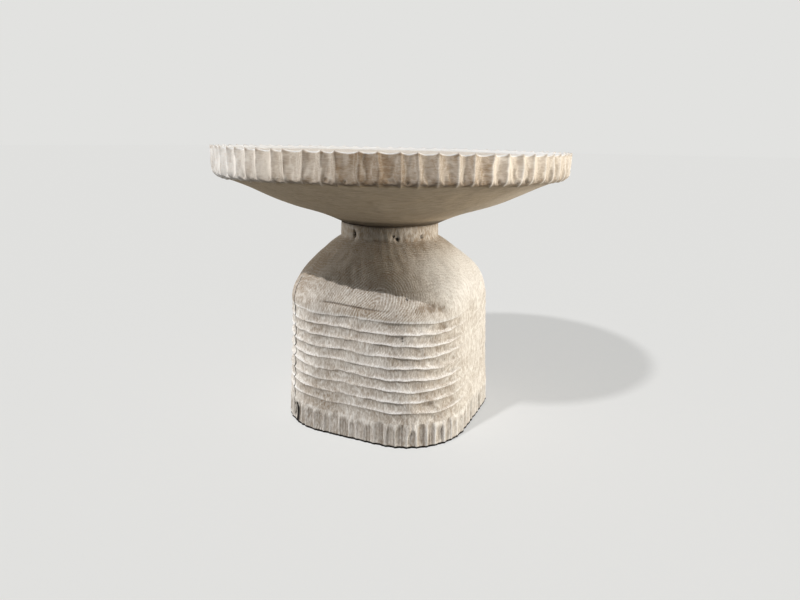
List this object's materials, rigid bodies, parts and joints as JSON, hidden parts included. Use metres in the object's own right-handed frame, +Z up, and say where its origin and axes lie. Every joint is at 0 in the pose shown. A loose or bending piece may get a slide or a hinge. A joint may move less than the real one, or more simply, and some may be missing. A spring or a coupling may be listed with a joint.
{
  "type": "side_table",
  "caption": "Low round side table in bleached carved hardwood: dished top with a fluted rim and coned underside on a ridged rounded-square pedestal",
  "frame": {"origin": "on the floor, under the centre of the pedestal's foot", "axes": "+Z up along the centre line of pedestal and top; +X and +Y square to the flat faces of the pedestal"},
  "size_m": [0.6094, 0.61, 0.48],
  "materials": {
    "top_wood": "bleached and white-washed carved hardwood, matt",
    "pedestal_wood": "bleached and white-washed carved hardwood, matt",
    "tenon_wood": "bare sawn hardwood"
  },
  "bodies": {
    "root": {"tabletop": "top_wood", "pedestal": "pedestal_wood", "centre_tenon": "tenon_wood", "side_tenon_1": "tenon_wood", "side_tenon_2": "tenon_wood", "side_tenon_3": "tenon_wood", "side_tenon_4": "tenon_wood"}
  },
  "joints": []
}
